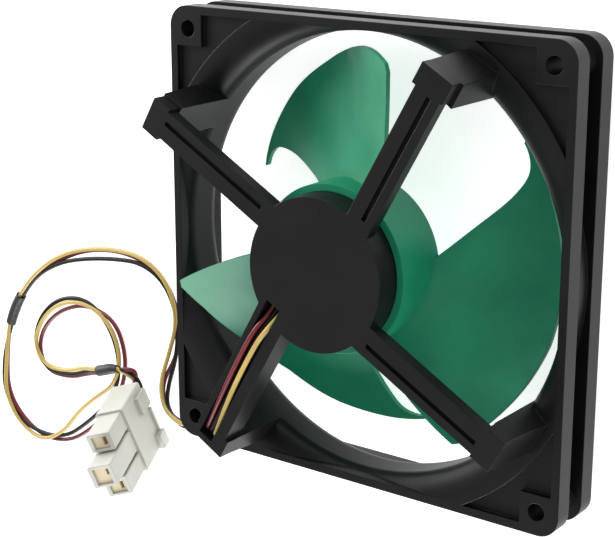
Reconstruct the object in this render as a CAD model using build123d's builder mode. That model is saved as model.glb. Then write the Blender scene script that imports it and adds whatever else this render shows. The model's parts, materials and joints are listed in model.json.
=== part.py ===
"""Axial fan with a raised motor mount, lying intake down, with its three leads and plug.

Millimetres, +Z up.  The origin is on the floor under the centre of the square frame.
The fan blows upwards: the impeller turns about Z inside the duct, and four struts carry
the motor above it.  The points of the blades reach below the frame's intake face, so the
fan lies on them.  The fan is drawn from its intake face and raised by blade_overhang when
it is saved; the free leads and the plug are drawn from the floor.
"""

from build123d import *
from math import cos, pi, radians, sin, tan
import os

# ---- driving dimensions ----
frame_side = 120.0
frame_depth = 17.0
flange_thick = 5.25
frame_corner_r = 5.5
hole_pitch = 108.0
hole_r = 2.25
column_r = 4.0
throat_r = 57.0
duct_wall = 1.8
lip_r = 66.0
opening_half = 57.8
pad_edge = 49.5
pocket_depth = 1.4

strut_angles = [60.3, 150.3, 240.3, 330.3]
lead_strut_angle = strut_angles[2]
strut_near = 0.3
strut_width = 7.5
strut_top = 34.6
strut_thick = 3.3
post_top = 31.0
post_reach = 62.8
post_lean = 1.0
post_near = -0.8
post_width = 10.1
pad_reach = 57.2
pad_width = 9.3

motor_r = 19.6
motor_wall = 1.8
motor_plate = 2.1
motor_skirt = 27.7

hub_r = 21.5
hub_wall = 1.9
hub_bottom = 10.5
hub_end_wall = 2.0
hub_top = 27.2
blade_count = 3
blade_thick = 1.6
blade_tip_r = 53.4
blade_root_r = hub_r - 1.2
blade_top = 26.4
blade_overhang = 5.8
blade_point_r = 47.6
blade_point_angle = 88.3
first_blade_angle = 73.4

shaft_r = 1.5
bearing_r = 4.0
bearing_width = 4.0
bearing_bottoms = {"rear": 15.2, "front": 27.3}
ring_gap_inner = 1.95
ring_gap_outer = 3.49
ball_r = 0.74
ball_pitch_r = 2.72
ball_count = 7

stator_bottom = 17.0
stator_top = 24.0
pole_r = 15.6
board_bottom = 28.4
board_thick = 1.6
board_r = 17.4

lead_d = 1.3
lead_pitch = 1.5
lead_names = ["red", "black", "yellow"]
twist_r = 0.86
twist_step = 50.0

plug_pitch = 7.2
plug_thick = 9.0
plug_width = 21.6
plug_length = 15.8

groove_height = frame_depth - 2 * flange_thick
frame_half = frame_side / 2
board_top = board_bottom + board_thick

os.makedirs("parts", exist_ok=True)


def save(piece, name, lift=blade_overhang):
    """Raise one finished piece to its height above the floor, label it and write it."""
    raised = Pos(0, 0, lift) * piece.part
    raised.label = name
    export_step(raised, f"parts/{name}.step")


def polar_point(radius, angle, height=0.0):
    """A point at a radius and an angle in degrees about the fan's axis."""
    return Vector(radius * cos(radians(angle)), radius * sin(radians(angle)), height)


def strut_plane(angle, height=0.0):
    """Plane at a height whose x runs out along a strut and whose y is across it, clockwise."""
    return Plane(origin=(0, 0, height), x_dir=polar_point(1, angle), z_dir=(0, 0, -1))


def strut_point(along, across, height, angle=lead_strut_angle):
    """A point given along a strut, across it clockwise, and above the floor."""
    outward = polar_point(1, angle)
    clockwise = polar_point(1, angle - 90)
    return outward * along + clockwise * across + Vector(0, 0, height)


# ---- one-piece housing: flanges, duct, corner columns, posts, struts and motor cup ----
def flare_cutter(face_height, direction):
    """Air space of one flared mouth: a quarter-ellipse lip turned about the axis, cut square."""
    throat_edge = face_height - direction * flange_thick
    with BuildPart() as cutter:
        with BuildSketch(Plane.XZ):
            with BuildLine():
                lip = EllipticalCenterArc(
                    (lip_r, throat_edge),
                    lip_r - throat_r,
                    flange_thick,
                    start_angle=180,
                    arc_size=-direction * 90,
                )
                Polyline(
                    lip @ 1,
                    (lip_r, face_height + direction),
                    (0, face_height + direction),
                    (0, throat_edge),
                    lip @ 0,
                )
            make_face()
        revolve(axis=Axis.Z)
        with BuildSketch(Plane.XY.offset(min(throat_edge, face_height) - 2)):
            Rectangle(2 * opening_half, 2 * opening_half)
        extrude(amount=flange_thick + 4, mode=Mode.INTERSECT)
    return cutter.part


mouths = [flare_cutter(0.0, -1), flare_cutter(frame_depth, 1)]

with BuildPart() as fan_housing:
    # two square flanges
    for flange_bottom in (0, frame_depth - flange_thick):
        with BuildSketch(Plane.XY.offset(flange_bottom)):
            RectangleRounded(frame_side, frame_side, frame_corner_r)
        extrude(amount=flange_thick)
    # duct wall and corner columns between them
    with BuildSketch(Plane.XY.offset(flange_thick)):
        Circle(throat_r + duct_wall)
        with GridLocations(hole_pitch, hole_pitch, 2, 2):
            Circle(column_r)
    extrude(amount=groove_height)
    # shallow pockets between the mouth, the corner pads and the rim, on both faces
    for pocket_bottom in (0, frame_depth - pocket_depth):
        with BuildSketch(Plane.XY.offset(pocket_bottom)):
            Rectangle(2 * opening_half, 2 * opening_half)
            Circle(lip_r + 0.6, mode=Mode.SUBTRACT)
            pad_side = frame_half - pad_edge
            pad_spacing = 2 * pad_edge + pad_side
            with GridLocations(pad_spacing, pad_spacing, 2, 2):
                Rectangle(pad_side, pad_side, mode=Mode.SUBTRACT)
        extrude(amount=pocket_depth, mode=Mode.SUBTRACT)
    # flared mouths
    for mouth in mouths:
        add(mouth, mode=Mode.SUBTRACT)
    # posts: leaning outer faces, standing on the front flange
    for angle in strut_angles:
        post_side = Plane(
            origin=strut_point(0, post_near, 0, angle),
            x_dir=polar_point(1, angle),
            z_dir=polar_point(1, angle - 90),
        )
        groove_top = frame_depth - flange_thick
        with BuildSketch(post_side):
            with BuildLine():
                Polyline(
                    (throat_r - 3, groove_top),
                    (post_reach - 1, groove_top),
                    (post_reach + post_lean, frame_depth),
                    (post_reach, post_top),
                    (throat_r - 3, post_top),
                    close=True,
                )
            make_face()
        extrude(amount=post_width)
    # throat through everything
    with BuildSketch():
        Circle(throat_r)
    extrude(amount=post_top + 1, mode=Mode.SUBTRACT)
    # mounting holes
    with BuildSketch():
        with GridLocations(hole_pitch, hole_pitch, 2, 2):
            Circle(hole_r)
    extrude(amount=frame_depth, mode=Mode.SUBTRACT)
    # motor cup, open downwards
    with BuildSketch(Plane.XY.offset(motor_skirt)):
        Circle(motor_r)
    extrude(amount=strut_top - motor_skirt)
    # struts and the pads that join them to the posts
    for angle in strut_angles:
        carries_leads = angle == lead_strut_angle
        width = strut_width + 2 if carries_leads else strut_width
        depth = strut_top - motor_skirt if carries_leads else strut_thick
        with BuildSketch(strut_plane(angle, strut_top)):
            with Locations((motor_r - 4, strut_near)):
                Rectangle(throat_r - motor_r + 6, width, align=(Align.MIN, Align.MIN))
        extrude(amount=depth)
        pad_across = post_width if carries_leads else pad_width
        with BuildSketch(strut_plane(angle, strut_top)):
            with Locations((pad_reach, post_near)):
                Rectangle(post_reach - pad_reach, pad_across, align=(Align.MIN, Align.MIN))
        extrude(amount=strut_top - post_top)
    # the cup's inside
    with BuildSketch(Plane.XY.offset(motor_skirt)):
        Circle(motor_r - motor_wall)
    extrude(amount=strut_top - motor_plate - motor_skirt, mode=Mode.SUBTRACT)
    # stepped groove along each plain strut
    for angle in strut_angles:
        if angle != lead_strut_angle:
            with BuildSketch(strut_plane(angle, strut_top)):
                with Locations((motor_r + 1.5, strut_near + 3.9)):
                    Rectangle(pad_reach - motor_r - 2, 1.3, align=(Align.MIN, Align.MIN))
            extrude(amount=1.2, mode=Mode.SUBTRACT)
    # lead channel: slot in the cup's rim, trough along the strut, drop through the post
    channel_near = 3.6
    channel_width = 4.6
    channel_floor = 32.3
    with BuildSketch(strut_plane(lead_strut_angle, strut_top)):
        with Locations((14.5, channel_near)):
            Rectangle(8.5, channel_width, align=(Align.MIN, Align.MIN))
    extrude(amount=strut_top - board_top, mode=Mode.SUBTRACT)
    with BuildSketch(strut_plane(lead_strut_angle, strut_top)):
        with Locations((22, channel_near)):
            Rectangle(39, channel_width, align=(Align.MIN, Align.MIN))
    extrude(amount=strut_top - channel_floor, mode=Mode.SUBTRACT)
    with BuildSketch(strut_plane(lead_strut_angle, strut_top)):
        with Locations((58.2, channel_near)):
            Rectangle(2.8, channel_width, align=(Align.MIN, Align.MIN))
    extrude(amount=strut_top - frame_depth + flange_thick, mode=Mode.SUBTRACT)
save(fan_housing, "fan_housing")


# ---- bearings, shaft and tube ----
def ring(inner, outer, bottom, height):
    """A plain ring about the axis."""
    with BuildPart() as made:
        with BuildSketch(Plane.XY.offset(bottom)):
            Circle(outer)
            Circle(inner, mode=Mode.SUBTRACT)
        extrude(amount=height)
    return made


tube_r = 5.4
tube_bottom = 14.8
tube_shoulder_r = 3.6
plate_bottom = strut_top - motor_plate
shoulder_bottom = bearing_bottoms["rear"] + bearing_width
with BuildPart() as bearing_tube:
    with BuildSketch(Plane.XY.offset(tube_bottom)):
        Circle(tube_r)
        Circle(bearing_r, mode=Mode.SUBTRACT)
    extrude(amount=plate_bottom - tube_bottom)
    with BuildSketch(Plane.XY.offset(shoulder_bottom)):
        Circle(bearing_r)
        Circle(tube_shoulder_r, mode=Mode.SUBTRACT)
    extrude(amount=bearing_bottoms["front"] - shoulder_bottom)
save(bearing_tube, "bearing_tube")

for place, ring_bottom in bearing_bottoms.items():
    outer_ring = ring(ring_gap_outer, bearing_r, ring_bottom, bearing_width)
    save(outer_ring, f"{place}_bearing_outer_ring")
    inner_ring = ring(shaft_r, ring_gap_inner, ring_bottom, bearing_width)
    save(inner_ring, f"{place}_bearing_inner_ring")
    ball_height = ring_bottom + bearing_width / 2
    with BuildPart() as balls:
        with Locations((0, 0, ball_height)):
            with PolarLocations(ball_pitch_r, ball_count):
                Sphere(ball_r)
    save(balls, f"{place}_bearing_balls")
    with BuildPart() as cage:
        with BuildSketch(Plane.XY.offset(ball_height - 1.2)):
            Circle(ball_pitch_r + 0.27)
            Circle(ball_pitch_r - 0.27, mode=Mode.SUBTRACT)
        extrude(amount=1.1)
        with Locations((0, 0, ball_height)):
            with PolarLocations(ball_pitch_r, ball_count):
                Sphere(ball_r + 0.03, mode=Mode.SUBTRACT)
    save(cage, f"{place}_bearing_cage")

bush_r = 3.2
bush_bottom = hub_bottom + 0.8
bush_top = 14.2
shaft_top = 32.1
clip_bottom = bearing_bottoms["front"] + bearing_width + 0.1
clip_thick = 0.4
clip_groove_r = 1.2
with BuildPart() as shaft:
    with BuildSketch(Plane.XY.offset(bush_bottom)):
        Circle(shaft_r)
    extrude(amount=shaft_top - bush_bottom)
    chamfer(shaft.edges().sort_by(Axis.Z)[-1], 0.3)
    with BuildSketch(Plane.XY.offset(clip_bottom - 0.05)):
        Circle(shaft_r)
        Circle(clip_groove_r, mode=Mode.SUBTRACT)
    extrude(amount=clip_thick + 0.1, mode=Mode.SUBTRACT)
save(shaft, "shaft")
save(ring(shaft_r, bush_r, bush_bottom, bush_top - bush_bottom), "shaft_bush")
save(ring(1.55, 2.4, bush_top, bearing_bottoms["rear"] - bush_top), "preload_washer")

with BuildPart() as shaft_clip:
    with BuildSketch(Plane.XY.offset(clip_bottom)):
        Circle(2.4)
        Circle(clip_groove_r, mode=Mode.SUBTRACT)
        with Locations((2, 0)):
            Rectangle(4, 1.6, mode=Mode.SUBTRACT)
    extrude(amount=clip_thick)
save(shaft_clip, "shaft_clip")


# ---- impeller: hub and swept blades ----
def inward(radius):
    """0 at the blade's tip radius, 1 at the hub."""
    return (blade_tip_r - radius) / (blade_tip_r - hub_r)


def trailing_offset(radius):
    """Angle of the high trailing edge, which leans back towards the hub."""
    t = inward(radius)
    return -8.3 * t - 7.5 * t**2


def blade_height(radius, offset):
    """Height of the blade's lower face: a shallow helix that curls up to the trailing edge."""
    t = min(max(inward(radius), 0), 1)
    helix_fall = 0.146
    hub_rise = 13.0 * (t**2 - inward(blade_point_r) ** 2)
    helix = -blade_overhang + helix_fall * (blade_point_angle - offset) + hub_rise
    start = trailing_offset(radius)
    helix_at_start = helix + helix_fall * (offset - start)
    curl_height = blade_top - blade_thick - 1.8 * t - helix_at_start
    curl = max(0, 1 - (offset - start) / (36 + 10 * t)) ** 1.36
    return helix + curl_height * curl


def blade_slab(angle):
    """A thin curved slab wider than the blade, at one blade's angle."""
    radii = [17.5 + 3.1 * step for step in range(13)]
    offsets = [-18 + 8 * step for step in range(15)]
    grid = [
        [polar_point(r, angle + o, blade_height(r, o)) for o in offsets]
        for r in radii
    ]
    face = Face.make_surface_from_array_of_points(grid)
    return Solid.extrude(face, Vector(0, 0, blade_thick))


def blade(angle):
    """One blade: the slab trimmed to a plan of trailing edge, tip arc, point and leading edge."""
    slab = blade_slab(angle)
    root_angle = angle + trailing_offset(blade_root_r)
    root_end = polar_point(blade_root_r, angle + 53)
    middle_r = (blade_tip_r + hub_r) / 2
    trailing_middle = polar_point(middle_r, angle + trailing_offset(middle_r))
    tip_start = polar_point(blade_tip_r - 1.4, angle - 0.3)
    tip_round = polar_point(blade_tip_r, angle + 2.0)
    tip_end = polar_point(blade_tip_r, angle + 14)
    point = polar_point(blade_point_r, angle + blade_point_angle)
    point_back = polar_point(blade_point_r - 0.7, angle + blade_point_angle - 0.8)
    belly = [(52.2, 28), (50.4, 42), (49.5, 54), (48.5, 66), (48.1, 77)]
    leading = [(46.4, 82.5), (44.8, 78.6), (42, 75.9), (38.8, 73.6), (33.6, 70.3), (28, 65.4), (hub_r, 55.5)]
    with BuildPart() as made:
        with BuildSketch(Plane.XY.offset(-2 * blade_overhang)):
            with BuildLine():
                ThreePointArc(polar_point(blade_root_r, root_angle), trailing_middle, tip_start)
                Line(tip_start, tip_round)
                ThreePointArc(tip_round, polar_point(blade_tip_r, angle + 8), tip_end)
                Spline(tip_end, *[polar_point(r, angle + o) for r, o in belly], point)
                Line(point, point_back)
                Spline(point_back, *[polar_point(r, angle + o) for r, o in leading], root_end)
                Line(root_end, (0, 0))
                Line((0, 0), polar_point(blade_root_r, root_angle))
            make_face()
            Circle(blade_root_r, mode=Mode.SUBTRACT)
        extrude(amount=2 * hub_top)
        add(slab, mode=Mode.INTERSECT)
    return made.part


blades = [blade(first_blade_angle + 360 / blade_count * turn) for turn in range(blade_count)]
with BuildPart() as impeller:
    with BuildSketch(Plane.XY.offset(hub_bottom)):
        Circle(hub_r)
    extrude(amount=hub_top - hub_bottom)
    fillet(impeller.edges().sort_by(Axis.Z)[0], 1.2)
    for made_blade in blades:
        add(made_blade)
    with BuildSketch(Plane.XY.offset(hub_bottom + hub_end_wall)):
        Circle(hub_r - hub_wall)
    extrude(amount=hub_top - hub_bottom, mode=Mode.SUBTRACT)
    with BuildSketch(Plane.XY.offset(bush_bottom)):
        Circle(bush_r)
    extrude(amount=hub_end_wall, mode=Mode.SUBTRACT)
save(impeller, "impeller")

yoke_outer = hub_r - hub_wall - 0.05
yoke_inner = yoke_outer - 1.15
save(ring(yoke_inner, yoke_outer, hub_bottom + hub_end_wall, 13.8), "rotor_yoke")
save(ring(yoke_inner - 2.2, yoke_inner - 0.05, 15.0, 11.0), "rotor_magnet")


# ---- stator ----
arm_width = 4.5
shoe_r = 13.9
shoe_half_angle = 37


def pole_sketch(arm, hub_radius, outer):
    """Plan of the four-pole stack: hub, arms and curved pole shoes."""
    with BuildSketch() as plan:
        Circle(outer)
        Circle(shoe_r, mode=Mode.SUBTRACT)
        with PolarLocations(0, 4, start_angle=45):
            with BuildLine():
                Polyline(
                    (0, 0),
                    polar_point(22, 45 - shoe_half_angle - 37),
                    polar_point(22, 45 - shoe_half_angle + 21),
                    close=True,
                )
            make_face(mode=Mode.SUBTRACT)
        Circle(hub_radius)
        with PolarLocations(shoe_r / 2 + 0.5, 4):
            Rectangle(shoe_r + 1, arm)
        Circle(tube_r + 0.05, mode=Mode.SUBTRACT)
    return plan.sketch


def stator_layer(sketch, bottom, height):
    """The stack's plan given a thickness at a height."""
    with BuildPart() as made:
        with BuildSketch(Plane.XY.offset(bottom)):
            add(sketch)
        extrude(amount=height)
    return made


insulator_thick = 0.9
core_plan = pole_sketch(arm_width, 7.4, pole_r)
insulator_plan = pole_sketch(arm_width + 0.4, 7.9, pole_r - 0.3)
save(stator_layer(core_plan, stator_bottom, stator_top - stator_bottom), "stator_core")
save(stator_layer(insulator_plan, stator_bottom - insulator_thick - 0.05, insulator_thick), "rear_insulator")
save(stator_layer(insulator_plan, stator_top + 0.05, insulator_thick), "front_insulator")

coil_inner_half = arm_width / 2 + 0.35
coil_outer_half = 4.9
coil_start = 8.3
coil_length = 4.5
coil_inner_top = stator_top + insulator_thick + 0.1
coil_inner_bottom = stator_bottom - insulator_thick - 0.1
coil_build = 1.0
for number in range(4):
    coil_plane = Plane(
        origin=polar_point(coil_start, 90 * number, (coil_inner_top + coil_inner_bottom) / 2),
        x_dir=polar_point(1, 90 * number + 90),
        z_dir=polar_point(1, 90 * number),
    )
    with BuildPart() as coil:
        with BuildSketch(coil_plane):
            RectangleRounded(2 * coil_outer_half, coil_inner_top - coil_inner_bottom + 2 * coil_build, 0.9)
            Rectangle(2 * coil_inner_half, coil_inner_top - coil_inner_bottom, mode=Mode.SUBTRACT)
        extrude(amount=coil_length)
    save(coil, f"stator_coil_{number + 1}")

pin_r = 0.35
pin_ring_r = 7.1
pin_angles = [45, 135, 225, 315]
pin_bottom = stator_top + insulator_thick + 0.05
with BuildPart() as terminal_pins:
    with BuildSketch(Plane.XY.offset(pin_bottom)):
        with PolarLocations(pin_ring_r, 4, start_angle=45):
            Circle(pin_r)
    extrude(amount=board_top + 0.7 - pin_bottom)
save(terminal_pins, "terminal_pins")

with BuildPart() as circuit_board:
    with BuildSketch(Plane.XY.offset(board_bottom)):
        Circle(board_r)
        Circle(6.2, mode=Mode.SUBTRACT)
        with PolarLocations(pin_ring_r, 4, start_angle=45):
            Circle(pin_r + 0.05, mode=Mode.SUBTRACT)
    extrude(amount=board_thick)
save(circuit_board, "circuit_board")


def board_chips(name, angles, radius, size, bottom):
    """Block-shaped components at a radius on the board, long side along the ring."""
    length, width, height = size
    with BuildPart() as chips:
        for angle in angles:
            chip_plane = Plane(
                origin=polar_point(radius, angle, bottom),
                x_dir=polar_point(1, angle + 90),
                z_dir=(0, 0, 1),
            )
            with BuildSketch(chip_plane):
                Rectangle(length, width)
            extrude(amount=height)
    save(chips, name)


board_chips("driver_chip", [45], 12.3, (5.0, 4.0, 1.6), board_top)
board_chips("hall_sensor", [82], 14.6, (4.0, 1.6, 1.6), board_bottom - 1.6)
board_chips("board_capacitors", [100, 122], 13.0, (3.2, 1.6, 1.2), board_top)
board_chips("board_resistors", [0, 12, 150, 165], 13.5, (2.0, 1.25, 0.5), board_top)
board_chips("board_diode", [330], 12.5, (4.3, 2.6, 1.9), board_top)


# ---- leads ----
def tube_path(points, tight_corners=(), tight_r=0.0):
    """Straight runs joined by tangent arcs, as large as their runs allow or as an edge is."""
    radii = []
    for number in range(1, len(points) - 1):
        before, corner, after = points[number - 1 : number + 2]
        turn = (corner - before).get_angle(after - corner)
        shorter = min((corner - before).length, (after - corner).length)
        widest = 0.45 * shorter / tan(radians(turn / 2))
        radii.append(tight_r if number in tight_corners else widest)
    with BuildLine() as route:
        FilletPolyline(*points, radius=radii)
    return route.wire(), radii


def lead_tube(name, points, lift=blade_overhang, **corners):
    """One lead's round tube along a route, with its radii and volume printed."""
    path, radii = tube_path(points, **corners)
    with BuildPart() as made:
        with BuildSketch(Plane(origin=path @ 0, z_dir=path % 0)):
            Circle(lead_d / 2)
        sweep(path=path)
    expected = pi * (lead_d / 2) ** 2 * path.length
    print(
        f"{name}: length {path.length:.1f}, volume {made.part.volume:.1f} of {expected:.1f},",
        "radii", " ".join(f"{r:.1f}" for r in radii),
    )
    save(made, name, lift)


# The leads start on the board, rise into the strut's channel, drop through the post and run
# along the groove between the flanges, one above another, to the corner.
exit_x = -58.0
groove_y = -58.85
lead_across = [7.4, 5.9, 4.4]
exit_heights = [7.0, 8.5, 10.0]
channel_height = channel_floor + 0.7
drop_along = 60.1
for name, across, exit_height in zip(lead_names, lead_across, exit_heights):
    drop = strut_point(drop_along, across, exit_height)
    lead_tube(
        f"lead_{name}_in_frame",
        [
            strut_point(12.0, across, board_top + 0.75),
            strut_point(16.0, across, board_top + 0.75),
            strut_point(21.0, across, channel_height),
            strut_point(drop_along, across, channel_height),
            drop,
            Vector(drop.X - 7.3, groove_y, exit_height),
            Vector(exit_x, groove_y, exit_height),
        ],
        tight_corners=(3, 4),
        tight_r=1.8,
    )

# Centreline of the three free leads above the floor, from the corner to the plug.
loose_z = 1.6
bundle_route = [
    (-66.9, -62.3, 10.8),
    (-72.7, -66.5, 7.0),
    (-82.7, -64.7, 3.4),
    (-85.3, -57.7, loose_z),
    (-80.8, -47.0, loose_z),
    (-78.4, -36.1, loose_z),
    (-82.2, -25.2, loose_z),
    (-91.9, -19.5, loose_z),
    (-103.7, -19.6, loose_z),
    (-115.8, -21.5, loose_z),
    (-127.2, -25.0, loose_z),
    (-137.6, -31.4, loose_z),
    (-145.7, -40.0, loose_z),
    (-151.3, -50.3, loose_z),
    (-154.1, -62.4, loose_z),
    (-155.0, -74.3, loose_z),
    (-149.5, -82.9, loose_z),
    (-138.8, -87.5, loose_z),
    (-127.3, -85.2, loose_z),
    (-118.1, -79.1, loose_z),
    (-109.9, -71.5, loose_z),
    (-103.5, -62.8, loose_z),
    (-101.8, -52.6, loose_z),
    (-105.6, -42.4, loose_z),
    (-115.5, -37.2, loose_z),
    (-127.1, -39.0, loose_z),
    (-136.1, -46.2, loose_z),
    (-139.8, -55.4, loose_z),
    (-135.8, -63.0, loose_z),
    (-125.6, -62.9, loose_z),
    (-116.3, -59.5, 2.6),
    (-108.0, -56.9, 6.2),
    (-99.4, -53.7, 6.4),
]
sleeve_runs = {"long_loop_sleeve": 12, "short_loop_sleeve": 31}

# The plug stands on its wire end, mouths up and tilted: x is its thickness, z its mating
# direction, and the origin its upper near corner where the towers start.
plug_corner = Vector(-83.9, -59.3, 21.2)
plug_mating = Vector(0.412, -0.192, 0.891)
plug_plane = Plane(origin=plug_corner, x_dir=Vector(0.892, 0.292, -0.345), z_dir=plug_mating)
cavity_offsets = [-plug_width / 2 + plug_pitch * step for step in (1, 0, -1)]


def plug_point(across, along, depth):
    """A point in the plug's own frame."""
    return plug_plane.from_local_coords(Vector(across, along, depth))


def strand_point(number, strand):
    """One strand's place beside a point of the bundle's route, twisting along it."""
    here = Vector(*bundle_route[number])
    before = Vector(*bundle_route[max(number - 1, 0)])
    after = Vector(*bundle_route[min(number + 1, len(bundle_route) - 1)])
    heading = (after - before).normalized()
    sideways = heading.cross(Vector(0, 0, 1)).normalized()
    upward = sideways.cross(heading)
    phase = radians(270 + twist_step * number + 120 * strand)
    return here + sideways * (twist_r * cos(phase)) + upward * (twist_r * sin(phase))


plug_entry = 2.5
approaches = [5.2, 4.6, 2.8]
gathers = [Vector(-93.7, -54.1, 3.8), Vector(-93.2, -57.0, 2.8), Vector(-93.2, -60.2, 1.4)]
for strand, name in enumerate(lead_names):
    start = Vector(exit_x, groove_y, exit_heights[strand] + blade_overhang)
    entry = plug_point(-plug_thick / 2, cavity_offsets[strand], -plug_length)
    lead_tube(
        f"lead_{name}_free",
        [start, start + Vector(-4.2, 0, 0)]
        + [strand_point(number, strand) for number in range(len(bundle_route))]
        + [gathers[strand]]
        + [entry - plug_mating * approaches[strand], entry + plug_mating * plug_entry],
        lift=0.0,
    )

for name, first in sleeve_runs.items():
    run_start = Vector(*bundle_route[first])
    run_end = Vector(*bundle_route[first + 1])
    sleeve_plane = Plane(origin=run_start, z_dir=run_end - run_start)
    with BuildPart() as sleeve:
        with BuildSketch(sleeve_plane):
            Circle(twist_r + lead_d / 2 + 0.4)
            Circle(twist_r + lead_d / 2 + 0.1, mode=Mode.SUBTRACT)
        extrude(amount=(run_end - run_start).length)
    save(sleeve, name, lift=0.0)

with BuildPart() as lead_adhesive:
    with Locations((-56.6, -58.3, 11.6)):
        Sphere(1.5)
save(lead_adhesive, "lead_adhesive")


# ---- plug ----
# Each tower is the square socket round one contact; the middle one is longer and wider.
tower_across = 7.6
tower_along = [5.8, 7.0, 5.8]
tower_lengths = [11.2, 18.0, 12.6]
socket_wall = 0.8
socket_side_wall = 1.3
cavity_r = 2.0
towers = list(zip(cavity_offsets, tower_along, tower_lengths))


def plug_sketch(depth, across, along, place, corner_r=0.0):
    """A rectangle across the plug at a depth, centred on a place given in its own frame."""
    with BuildSketch(plug_plane.offset(depth)) as outline:
        with Locations(place):
            if corner_r:
                RectangleRounded(across, along, corner_r)
            else:
                Rectangle(across, along)
    return outline.sketch


middle_across = -plug_thick / 2
latch_rise = 1.2
lip_rise = 0.8
stub_rise = 2.0
with BuildPart() as plug_housing:
    body = plug_sketch(-plug_length, plug_thick, plug_width, (middle_across, -plug_width / 2), 0.7)
    extrude(body, amount=plug_length)
    for offset_along, along, length in towers:
        tower = plug_sketch(0, tower_across, along, (middle_across, offset_along), 0.5)
        extrude(tower, amount=length)
    # latch arm, end lip and stub on the near side, at the wire end
    for rise, along, middle_along, length in (
        (latch_rise, 5.5, -5.0, 7.0),
        (lip_rise, 8.0, -13.0, 1.0),
        (stub_rise, 4.6, -plug_width + 2.3, 4.3),
    ):
        step = plug_sketch(-plug_length, rise, along, (rise / 2, middle_along))
        extrude(step, amount=length)
    for offset_along, along, length in towers:
        with BuildSketch(plug_plane.offset(-plug_length)):
            with Locations((middle_across, offset_along)):
                Circle(cavity_r)
        extrude(amount=plug_length, mode=Mode.SUBTRACT)
        mouth_across = tower_across - 2 * socket_side_wall
        mouth_along = along - 2 * socket_wall
        mouth = plug_sketch(0, mouth_across, mouth_along, (middle_across, offset_along))
        extrude(mouth, amount=length, mode=Mode.SUBTRACT)
save(plug_housing, "plug_housing", lift=0.0)

# Each contact fills its socket to just below the mouth, with a slot for the mating blade.
contact_recess = 0.6
contact_play = 0.05
slot_depth = 6.0
slots = [(1.2, 0.1, 1.2, 2.6), (1.8, 1.0, 0.8, 1.8), (1.2, 0.1, 1.1, 2.4)]
with BuildPart() as plug_contacts:
    for (offset_along, along, length), slot in zip(towers, slots):
        with BuildSketch(plug_plane.offset(plug_entry - plug_length)):
            with Locations((middle_across, offset_along)):
                Circle(cavity_r - contact_play)
        extrude(amount=plug_length - plug_entry)
        fill_across = tower_across - 2 * (socket_side_wall + contact_play)
        fill_along = along - 2 * (socket_wall + contact_play)
        block = plug_sketch(0, fill_across, fill_along, (middle_across, offset_along))
        extrude(block, amount=length - contact_recess)
        slot_across, slot_along, slot_wide, slot_high = slot
        place = (middle_across + slot_across, offset_along + slot_along)
        cut = plug_sketch(length - contact_recess, slot_wide, slot_high, place)
        extrude(cut, amount=-slot_depth, mode=Mode.SUBTRACT)
save(plug_contacts, "plug_contacts", lift=0.0)
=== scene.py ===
"""Looks for the axial fan: camera, leads, sleeves, materials, floor and light round the frame."""

import json
from math import cos, pi, radians, sin

import bmesh
import bpy
from mathutils import Matrix, Vector


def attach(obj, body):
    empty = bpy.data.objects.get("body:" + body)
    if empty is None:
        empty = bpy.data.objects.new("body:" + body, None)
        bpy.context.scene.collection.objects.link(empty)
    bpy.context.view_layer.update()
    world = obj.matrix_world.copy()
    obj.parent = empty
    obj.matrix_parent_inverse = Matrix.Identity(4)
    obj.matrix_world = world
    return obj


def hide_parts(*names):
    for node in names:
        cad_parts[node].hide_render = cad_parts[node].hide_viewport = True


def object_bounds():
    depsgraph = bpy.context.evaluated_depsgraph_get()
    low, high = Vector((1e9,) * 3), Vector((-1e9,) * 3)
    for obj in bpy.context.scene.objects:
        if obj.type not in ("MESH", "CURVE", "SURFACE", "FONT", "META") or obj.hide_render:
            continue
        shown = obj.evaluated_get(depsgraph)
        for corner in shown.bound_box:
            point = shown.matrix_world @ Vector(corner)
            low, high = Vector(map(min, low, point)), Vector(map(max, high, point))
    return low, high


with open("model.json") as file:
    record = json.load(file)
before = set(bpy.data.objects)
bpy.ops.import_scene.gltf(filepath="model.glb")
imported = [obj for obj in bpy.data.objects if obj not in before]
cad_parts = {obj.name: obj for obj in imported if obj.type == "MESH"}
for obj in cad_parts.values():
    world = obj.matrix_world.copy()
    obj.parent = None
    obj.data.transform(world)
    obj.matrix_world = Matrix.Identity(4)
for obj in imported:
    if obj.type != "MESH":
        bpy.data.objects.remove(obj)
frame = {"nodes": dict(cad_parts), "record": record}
cad_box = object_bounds()
MM = 0.001


# ---- camera ----
camera_place = (0.22427, 0.10724, 0.34071)
camera_direction = (0.5786, 0.2706, 0.7694)
camera_lens = 94.0


def add_camera():
    """The camera looks down on the fan from the outlet side, from the lead corner's far side."""
    data = bpy.data.cameras.new("camera")
    data.lens = camera_lens
    data.sensor_width = 36.0
    data.clip_start = 0.01
    camera = bpy.data.objects.new("camera", data)
    back = Vector(camera_direction).normalized()
    right = Vector((0, 1, 0)).cross(back).normalized()
    up = back.cross(right)
    turn = Matrix((right, up, back)).transposed().to_4x4()
    camera.matrix_world = Matrix.Translation(camera_place) @ turn
    bpy.context.scene.collection.objects.link(camera)
    bpy.context.scene.camera = camera


add_camera()


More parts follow.
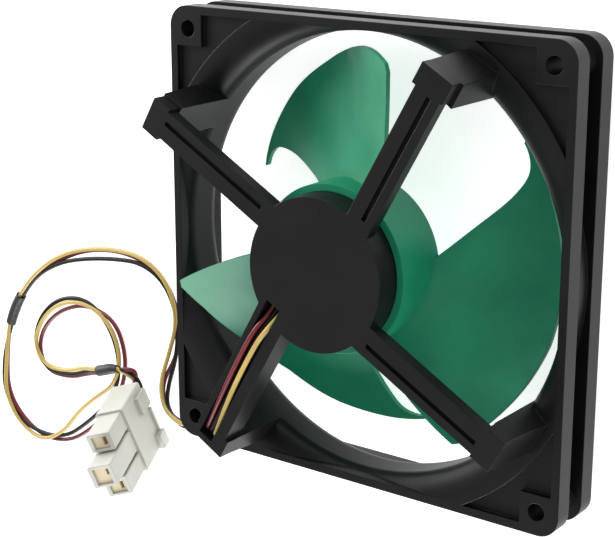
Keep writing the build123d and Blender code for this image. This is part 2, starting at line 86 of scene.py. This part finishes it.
# ---- free leads: one spline each, near the routes of the CAD tubes ----
lead_names = ["red", "black", "yellow"]
lead_diameter = 1.3 * MM
exit_x = -58.0 * MM
exit_y = -58.85 * MM
exit_heights = [12.8 * MM, 14.3 * MM, 15.8 * MM]
straight_exit = 4.2 * MM
loose_z = 0.0016
bundle_route = [
    (-0.0669, -0.0623, 0.0108),
    (-0.0727, -0.0665, 0.0070),
    (-0.0827, -0.0647, 0.0034),
    (-0.0853, -0.0577, loose_z),
    (-0.0808, -0.0470, loose_z),
    (-0.0784, -0.0361, loose_z),
    (-0.0822, -0.0252, loose_z),
    (-0.0919, -0.0195, loose_z),
    (-0.1037, -0.0196, loose_z),
    (-0.1158, -0.0215, loose_z),
    (-0.1272, -0.0250, loose_z),
    (-0.1376, -0.0314, loose_z),
    (-0.1457, -0.0400, loose_z),
    (-0.1513, -0.0503, loose_z),
    (-0.1541, -0.0624, loose_z),
    (-0.1550, -0.0743, loose_z),
    (-0.1495, -0.0829, loose_z),
    (-0.1388, -0.0875, loose_z),
    (-0.1273, -0.0852, loose_z),
    (-0.1181, -0.0791, loose_z),
    (-0.1099, -0.0715, loose_z),
    (-0.1035, -0.0628, loose_z),
    (-0.1018, -0.0526, loose_z),
    (-0.1056, -0.0424, loose_z),
    (-0.1155, -0.0372, loose_z),
    (-0.1271, -0.0390, loose_z),
    (-0.1361, -0.0462, loose_z),
    (-0.1398, -0.0554, loose_z),
    (-0.1358, -0.0630, loose_z),
    (-0.1256, -0.0629, loose_z),
    (-0.1163, -0.0595, 0.0026),
    (-0.1080, -0.0569, 0.0062),
    (-0.0994, -0.0537, 0.0064),
]
sleeve_runs = {"long_loop_sleeve": 12, "short_loop_sleeve": 31}
gather_points = [
    Vector((-0.0937, -0.0541, 0.0038)),
    Vector((-0.0932, -0.0570, 0.0028)),
    Vector((-0.0932, -0.0602, 0.0014)),
]

# Where red, black and yellow lie beside the bundle's route, in millimetres towards the
# outside of the loops, one row for each of its points; yellow lies over black over red.
strand_sides = [
    (0.6, -0.6, 0.2),
    (0.5, -0.7, 0.4),
    (-0.6, 0.6, 0.0),
    (-1.2, 1.9, -0.9),
    (1.2, 1.4, -1.2),
    (0.2, -0.3, 0.0),
    (-0.6, -0.9, 0.6),
    (-0.5, -1.3, 1.0),
    (0.9, -1.7, 1.5),
    (0.9, -1.7, 1.5),
    (-0.3, -1.2, 0.9),
    (0.2, -0.5, 0.2),
    (0.7, -0.7, 0.0),
    (0.7, -0.7, 0.0),
    (0.0, 0.9, -0.8),
    (-0.3, 1.1, -0.1),
    (-1.0, 0.4, 0.7),
    (-0.1, -1.3, 1.1),
    (0.9, -0.8, -2.5),
    (1.1, -1.2, -5.6),
    (0.9, -0.9, -5.2),
    (0.8, -0.8, -1.8),
    (1.3, -1.3, 0.0),
    (1.4, -1.5, -0.1),
    (-1.0, 0.9, 0.0),
    (-2.2, 1.5, 0.0),
    (-1.7, 1.3, 0.0),
    (-0.6, 0.9, 0.3),
    (1.0, 0.0, -1.2),
    (1.2, 0.3, -1.3),
    (1.0, 0.2, -1.2),
    (0.7, 0.0, -0.7),
    (0.7, 0.0, -0.7),
]
strand_heights = [-0.55 * MM, 0.0, 0.55 * MM]

# The plug's own frame: x across its thickness, y along its width, z the mating direction.
plug_corner = Vector((-0.0839, -0.0593, 0.0212))
plug_mating = Vector((0.412, -0.192, 0.891)).normalized()
plug_across = Vector((0.892, 0.292, -0.345))
plug_across = (plug_across - plug_mating * plug_across.dot(plug_mating)).normalized()
plug_along = plug_mating.cross(plug_across)
plug_thick = 9.0 * MM
plug_width = 21.6 * MM
plug_length = 15.8 * MM
plug_pitch = 7.2 * MM
plug_entry = 2.5 * MM
approaches = [5.2 * MM, 4.6 * MM, 2.8 * MM]


def plug_point(across, along, depth):
    """A point in the plug's own frame, as a point of the row."""
    return plug_corner + plug_across * across + plug_along * along + plug_mating * depth


def strand_point(number, strand):
    """One strand's place beside a point of the bundle's route."""
    here = Vector(bundle_route[number])
    before = Vector(bundle_route[max(number - 1, 0)])
    after = Vector(bundle_route[min(number + 1, len(bundle_route) - 1)])
    heading = (after - before).normalized()
    sideways = heading.cross(Vector((0, 0, 1))).normalized()
    upward = sideways.cross(heading)
    side = strand_sides[number][strand] * MM
    return here + sideways * side + upward * strand_heights[strand]


def add_wire(name, points):
    """A round wire of the lead's diameter along one smooth spline."""
    curve = bpy.data.curves.new(name, "CURVE")
    curve.dimensions = "3D"
    spline = curve.splines.new("NURBS")
    spline.points.add(len(points) - 1)
    for control, point in zip(spline.points, points):
        control.co = (*point, 1.0)
        control.radius = lead_diameter / 2
    spline.order_u = 3
    spline.use_endpoint_u = True
    spline.resolution_u = 10
    # The tube's radius is bevel depth times point radius, and the curve's box grows by the point
    # radius alone, so the points carry the lead's own radius and the depth is a plain one.
    curve.bevel_depth = 1.0
    curve.bevel_resolution = 4
    curve.use_fill_caps = True
    wire = bpy.data.objects.new(name, curve)
    bpy.context.scene.collection.objects.link(wire)
    return wire


def add_lead(strand):
    """One lead: a smooth spline from the frame's corner to its hole in the plug."""
    name = lead_names[strand]
    start = Vector((exit_x, exit_y, exit_heights[strand]))
    hole_along = -plug_width / 2 + plug_pitch * (1 - strand)
    entry = plug_point(-plug_thick / 2, hole_along, -plug_length)
    points = [start, start - Vector((straight_exit, 0, 0))]
    points += [strand_point(number, strand) for number in range(len(bundle_route))]
    points += [gather_points[strand], entry - plug_mating * approaches[strand]]
    points += [entry + plug_mating * plug_entry]
    lead = add_wire(f"free_lead_{name}", points)
    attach(lead, "housing")
    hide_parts(f"lead_{name}_free")
    return lead


free_leads = [add_lead(strand) for strand in range(len(lead_names))]


def centreline(lead):
    """Points along a lead's spline, read from a copy of it with no thickness."""
    bare = lead.copy()
    bare.data = lead.data.copy()
    bare.data.bevel_depth = 0.0
    bare.data.use_fill_caps = False
    mesh = bpy.data.meshes.new_from_object(bare)
    points = [vertex.co.copy() for vertex in mesh.vertices]
    bpy.data.objects.remove(bare)
    bpy.data.meshes.remove(mesh)
    return points


centrelines = [centreline(lead) for lead in free_leads]



def nearest_on(line, place):
    """The point of a centreline nearest a place, found on its straight pieces."""
    best = None
    for first, last in zip(line, line[1:]):
        piece = last - first
        if piece.length_squared == 0:
            continue
        share = max(0.0, min(1.0, (place - first).dot(piece) / piece.length_squared))
        point = first + piece * share
        if best is None or (point - place).length < (best - place).length:
            best = point
    return best


sleeve_wall = 0.3 * MM
sleeve_rings = 25
sleeve_sides = 32
sleeve_wrinkle = 0.02 * MM
sleeve_underside = 0.9


def add_sleeve(name, first):
    """A shrink sleeve drawn tight round the three leads, flatter underneath, slightly wrinkled."""
    run_start = Vector(bundle_route[first])
    run_end = Vector(bundle_route[first + 1])
    centres = []
    radii = []
    for ring in range(sleeve_rings):
        along = run_start.lerp(run_end, ring / (sleeve_rings - 1))
        nearest = [nearest_on(line, along) for line in centrelines]
        centre = sum(nearest, Vector()) / len(nearest)
        reach = max((point - centre).length for point in nearest)
        wrinkle = sleeve_wrinkle * sin(0.9 * ring) * sin(0.4 * ring + first)
        centres.append(centre)
        radii.append(reach + lead_diameter / 2 + 0.5 * sleeve_wall + wrinkle)
    mesh_maker = bmesh.new()
    heading = (run_end - run_start).normalized()
    sideways = heading.cross(Vector((0, 0, 1))).normalized()
    upward = sideways.cross(heading)
    profile = list(zip(centres, radii))
    inside = [(centre, radius - sleeve_wall) for centre, radius in profile]
    loops = []
    for centre, radius in profile + inside[::-1]:
        loop = []
        for side in range(sleeve_sides):
            angle = 2 * pi * side / sleeve_sides
            flat = sleeve_underside if sin(angle) < 0 else 1.0
            offset = sideways * (radius * cos(angle)) + upward * (flat * radius * sin(angle))
            loop.append(mesh_maker.verts.new(centre + offset))
        loops.append(loop)
    for loop, following in zip(loops, loops[1:] + loops[:1]):
        for side in range(sleeve_sides):
            after = (side + 1) % sleeve_sides
            mesh_maker.faces.new((loop[side], loop[after], following[after], following[side]))
    bmesh.ops.recalc_face_normals(mesh_maker, faces=mesh_maker.faces)
    mesh = bpy.data.meshes.new(f"shrunk_{name}")
    mesh_maker.to_mesh(mesh)
    mesh_maker.free()
    for face in mesh.polygons:
        face.use_smooth = True
    sleeve = bpy.data.objects.new(f"shrunk_{name}", mesh)
    bpy.context.scene.collection.objects.link(sleeve)
    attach(sleeve, "housing")
    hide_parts(name)
    return sleeve


sleeves = [add_sleeve(name, first) for name, first in sleeve_runs.items()]


# ---- the leads' fixed ends, from the board along a strut and down a post to the corner ----
strut_angle = radians(240.3)
board_alongs = [12.0, 16.5]
board_height = 36.55
channel_end = 58.0
channel_height = 38.8
drop_along = 60.1
# Along the strut, across it and above the floor, in millimetres: the leads rise through the cup's
# slot, lie bowed on the strut and dip into its channel again; black lies under the other two.
strut_runs = {
    "red": [
        (20.0, 6.9, 38.8),
        (24.0, 7.3, 40.6),
        (32.0, 7.5, 40.6),
        (42.0, 7.4, 40.4),
        (52.0, 7.4, 39.6),
    ],
    "black": [
        (20.0, 5.9, 38.0),
        (24.0, 6.2, 39.4),
        (32.0, 6.3, 39.5),
        (42.0, 6.2, 39.3),
        (52.0, 6.0, 38.9),
    ],
    "yellow": [
        (19.0, 4.3, 38.8),
        (22.0, 4.3, 40.6),
        (27.0, 5.1, 40.6),
        (41.0, 5.2, 40.4),
        (52.0, 4.7, 39.6),
    ],
}
channel_places = [7.4, 5.9, 4.4]
post_heights = [38.6, 34.0]
drop_foot = 4.0
groove_run = 7.3 * MM


def strut_place(along, across, height):
    """A point along the leads' strut, across it clockwise and above the floor, all in millimetres."""
    outward = Vector((cos(strut_angle), sin(strut_angle), 0))
    clockwise = Vector((sin(strut_angle), -cos(strut_angle), 0))
    return (outward * along + clockwise * across + Vector((0, 0, height))) * MM


def add_fixed_end(strand):
    """The part of a lead that the frame holds."""
    name = lead_names[strand]
    across = channel_places[strand]
    low = exit_heights[strand] / MM
    turn_in = strut_place(drop_along, across, low)
    points = [strut_place(along, across, board_height) for along in board_alongs]
    points += [strut_place(*place) for place in strut_runs[name]]
    points += [strut_place(channel_end, across, channel_height)]
    drop_heights = [*post_heights, low + drop_foot]
    points += [strut_place(drop_along, across, height) for height in drop_heights]
    points += [turn_in, Vector((turn_in.x - groove_run, exit_y, turn_in.z))]
    points += [Vector((exit_x, exit_y, exit_heights[strand]))]
    end = add_wire(f"fixed_lead_{name}", points)
    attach(end, "housing")
    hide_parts(f"lead_{name}_in_frame")
    return end


fixed_ends = [add_fixed_end(strand) for strand in range(len(lead_names))]


# ---- materials ----
grain_depth = 0.08 * MM
mark_depth = 0.03 * MM


def new_material(name):
    """An empty node material with its shader and output."""
    material = bpy.data.materials.new(name)
    material.use_nodes = True
    nodes = material.node_tree.nodes
    return material, nodes, material.node_tree.links, nodes["Principled BSDF"]


def noise(nodes, links, coordinates, scale, detail=4.0, roughness=0.55):
    """A noise texture on the given coordinates."""
    texture = nodes.new("ShaderNodeTexNoise")
    texture.inputs["Scale"].default_value = scale
    texture.inputs["Detail"].default_value = detail
    texture.inputs["Roughness"].default_value = roughness
    links.new(coordinates, texture.inputs["Vector"])
    return texture.outputs["Fac"]


def ramp(nodes, links, value, low, high, start=0.35, end=0.65):
    """Colours a value between two colours."""
    mixer = nodes.new("ShaderNodeValToRGB")
    mixer.color_ramp.elements[0].position = start
    mixer.color_ramp.elements[0].color = (*low, 1)
    mixer.color_ramp.elements[1].position = end
    mixer.color_ramp.elements[1].color = (*high, 1)
    links.new(value, mixer.inputs["Fac"])
    return mixer.outputs["Color"]


def spread(nodes, links, value, low, high):
    """Maps a value from 0..1 to a range."""
    mapper = nodes.new("ShaderNodeMapRange")
    mapper.inputs["To Min"].default_value = low
    mapper.inputs["To Max"].default_value = high
    links.new(value, mapper.inputs["Value"])
    return mapper.outputs["Result"]


def moulded(name, low, high, rough=(0.4, 0.55), grain=2500, bump=0.08, edge=0.0003, **inputs):
    """Moulded plastic: slow colour drift, fine spark-eroded grain and softly rounded edges."""
    material, nodes, links, shader = new_material(name)
    place = nodes.new("ShaderNodeTexCoord").outputs["Object"]
    drift = noise(nodes, links, place, 60, 3)
    fine = noise(nodes, links, place, grain, 6)
    links.new(ramp(nodes, links, drift, low, high), shader.inputs["Base Color"])
    links.new(spread(nodes, links, fine, *rough), shader.inputs["Roughness"])
    relief = nodes.new("ShaderNodeBump")
    relief.inputs["Strength"].default_value = bump
    relief.inputs["Distance"].default_value = grain_depth
    links.new(fine, relief.inputs["Height"])
    if edge:
        rounded = nodes.new("ShaderNodeBevel")
        rounded.samples = 6
        rounded.inputs["Radius"].default_value = edge
        links.new(rounded.outputs["Normal"], relief.inputs["Normal"])
    links.new(relief.outputs["Normal"], shader.inputs["Normal"])
    for key, value in inputs.items():
        shader.inputs[key.replace("_", " ")].default_value = value
    return material


def metal(name, low, high, rough=(0.2, 0.4), stretch=(1, 1, 40)):
    """Metal with fine turned or drawn marks and slight tarnish."""
    material, nodes, links, shader = new_material(name)
    place = nodes.new("ShaderNodeTexCoord").outputs["Object"]
    mapping = nodes.new("ShaderNodeMapping")
    mapping.inputs["Scale"].default_value = stretch
    links.new(place, mapping.inputs["Vector"])
    marks = noise(nodes, links, mapping.outputs["Vector"], 600, 4)
    tarnish = noise(nodes, links, place, 300, 3)
    links.new(ramp(nodes, links, tarnish, low, high), shader.inputs["Base Color"])
    links.new(spread(nodes, links, marks, *rough), shader.inputs["Roughness"])
    shader.inputs["Metallic"].default_value = 1.0
    relief = nodes.new("ShaderNodeBump")
    relief.inputs["Strength"].default_value = 0.15
    relief.inputs["Distance"].default_value = mark_depth
    links.new(marks, relief.inputs["Height"])
    links.new(relief.outputs["Normal"], shader.inputs["Normal"])
    return material


finishes = {
    "housing_plastic": moulded(
        "black_housing_plastic",
        (0.0035, 0.0037, 0.0042),
        (0.006, 0.0063, 0.007),
        (0.34, 0.46),
        Specular_IOR_Level=0.22,
    ),
    "impeller_plastic": moulded(
        "sea_green_plastic",
        (0.009, 0.2, 0.1),
        (0.014, 0.245, 0.125),
        (0.34, 0.44),
        bump=0.03,
        Specular_IOR_Level=0.22,
    ),
    "plug_plastic": moulded(
        "ivory_nylon", (0.47, 0.47, 0.42), (0.53, 0.53, 0.485), (0.4, 0.55), bump=0.03
    ),
    "red_insulation": moulded("red_pvc", (0.11, 0.006, 0.012), (0.16, 0.009, 0.017), (0.25, 0.4), edge=0),
    "black_insulation": moulded(
        "black_pvc",
        (0.0025, 0.0022, 0.0022),
        (0.005, 0.0044, 0.0044),
        (0.3, 0.45),
        edge=0,
        Specular_IOR_Level=0.25,
    ),
    "yellow_insulation": moulded("yellow_pvc", (0.45, 0.32, 0.08), (0.56, 0.41, 0.12), (0.25, 0.4), edge=0),
    "sleeve_rubber": moulded(
        "black_shrink", (0.012, 0.012, 0.013), (0.022, 0.022, 0.024), (0.4, 0.6), bump=0.2
    ),
    "adhesive": moulded("white_adhesive", (0.6, 0.6, 0.57), (0.75, 0.75, 0.72), (0.3, 0.5)),
    "contact_brass": moulded("beige_contact", (0.55, 0.47, 0.3), (0.66, 0.57, 0.38), (0.4, 0.6)),
    "insulator_plastic": moulded("insulator_nylon", (0.55, 0.54, 0.48), (0.65, 0.64, 0.58)),
    "board": moulded("green_board", (0.01, 0.07, 0.03), (0.015, 0.1, 0.045), (0.2, 0.35)),
    "chip_plastic": moulded("chip_epoxy", (0.008, 0.008, 0.008), (0.014, 0.014, 0.014), (0.5, 0.7)),
    "capacitor_ceramic": moulded("capacitor_ceramic", (0.28, 0.19, 0.1), (0.36, 0.25, 0.14), (0.3, 0.5)),
    "magnet": moulded("bonded_ferrite", (0.02, 0.02, 0.02), (0.035, 0.034, 0.033), (0.5, 0.7), bump=0.2),
    "brass": metal("turned_brass", (0.55, 0.38, 0.14), (0.68, 0.48, 0.2)),
    "bearing_steel": metal("ground_steel", (0.5, 0.5, 0.52), (0.62, 0.62, 0.64), (0.12, 0.3)),
    "core_steel": metal("stamped_steel", (0.2, 0.21, 0.22), (0.3, 0.31, 0.33), (0.35, 0.55), (1, 1, 60)),
    "tinned_pins": metal("tinned_pin", (0.6, 0.6, 0.58), (0.7, 0.7, 0.69), (0.2, 0.35)),
    "copper_wire": metal("enamelled_copper", (0.42, 0.13, 0.04), (0.55, 0.19, 0.07), (0.2, 0.35), (1, 1, 8)),
}


def paint(thing, slot):
    """Gives an object the finish of a material slot."""
    thing.data.materials.clear()
    thing.data.materials.append(finishes[slot])


for entry in frame["record"]["subparts"]:
    paint(frame["nodes"][entry["node"]], entry["material_slot"])
for lead, end, name in zip(free_leads, fixed_ends, lead_names):
    paint(lead, f"{name}_insulation")
    paint(end, f"{name}_insulation")
for sleeve in sleeves:
    paint(sleeve, "sleeve_rubber")


# ---- floor and light ----
floor_half = 3.0
floor_gap = 0.02 * MM
floor_glow = 0.65
light_aim = Vector((0, 0, 0.015))


def add_floor():
    """A plain pale sheet just under the lowest piece, glowing a little so that it reads white."""
    mesh = bpy.data.meshes.new("floor")
    low = cad_box[0][2] - floor_gap
    corners = [(-1, -1), (1, -1), (1, 1), (-1, 1)]
    mesh.from_pydata(
        [(floor_half * x, floor_half * y, low) for x, y in corners],
        [],
        [(0, 1, 2, 3)],
    )
    floor = bpy.data.objects.new("floor", mesh)
    bpy.context.scene.collection.objects.link(floor)
    material, nodes, links, shader = new_material("pale_paper")
    place = nodes.new("ShaderNodeTexCoord").outputs["Object"]
    fibre = noise(nodes, links, place, 900, 4)
    links.new(ramp(nodes, links, fibre, (0.88, 0.88, 0.88), (0.9, 0.9, 0.9)), shader.inputs["Base Color"])
    shader.inputs["Roughness"].default_value = 0.9
    shader.inputs["Emission Color"].default_value = (1, 1, 1, 1)
    shader.inputs["Emission Strength"].default_value = floor_glow
    mesh.materials.append(material)


def add_light(name, place, size, watts):
    """A square soft light aimed at the middle of the fan."""
    data = bpy.data.lights.new(name, "AREA")
    data.size = size
    data.energy = watts
    light = bpy.data.objects.new(name, data)
    light.location = place
    aim = light_aim - Vector(place)
    light.rotation_euler = aim.to_track_quat("-Z", "Y").to_euler()
    bpy.context.scene.collection.objects.link(light)


def add_sky(brightness):
    """An even white surround."""
    world = bpy.data.worlds.new("surround")
    world.use_nodes = True
    background = world.node_tree.nodes["Background"]
    background.inputs["Color"].default_value = (1, 1, 1, 1)
    background.inputs["Strength"].default_value = brightness
    bpy.context.scene.world = world


bpy.context.scene.view_settings.view_transform = "Standard"
add_floor()
add_sky(0.6)
add_light("window_near", (-0.15, -0.9, 0.3), 0.5, 8)
add_light("window_left", (-0.85, 0.3, 0.3), 0.5, 6)
add_light("window_far", (-0.35, 0.7, 0.35), 0.6, 4)
add_light("window_right", (0.85, -0.1, 0.25), 0.5, 2.5)
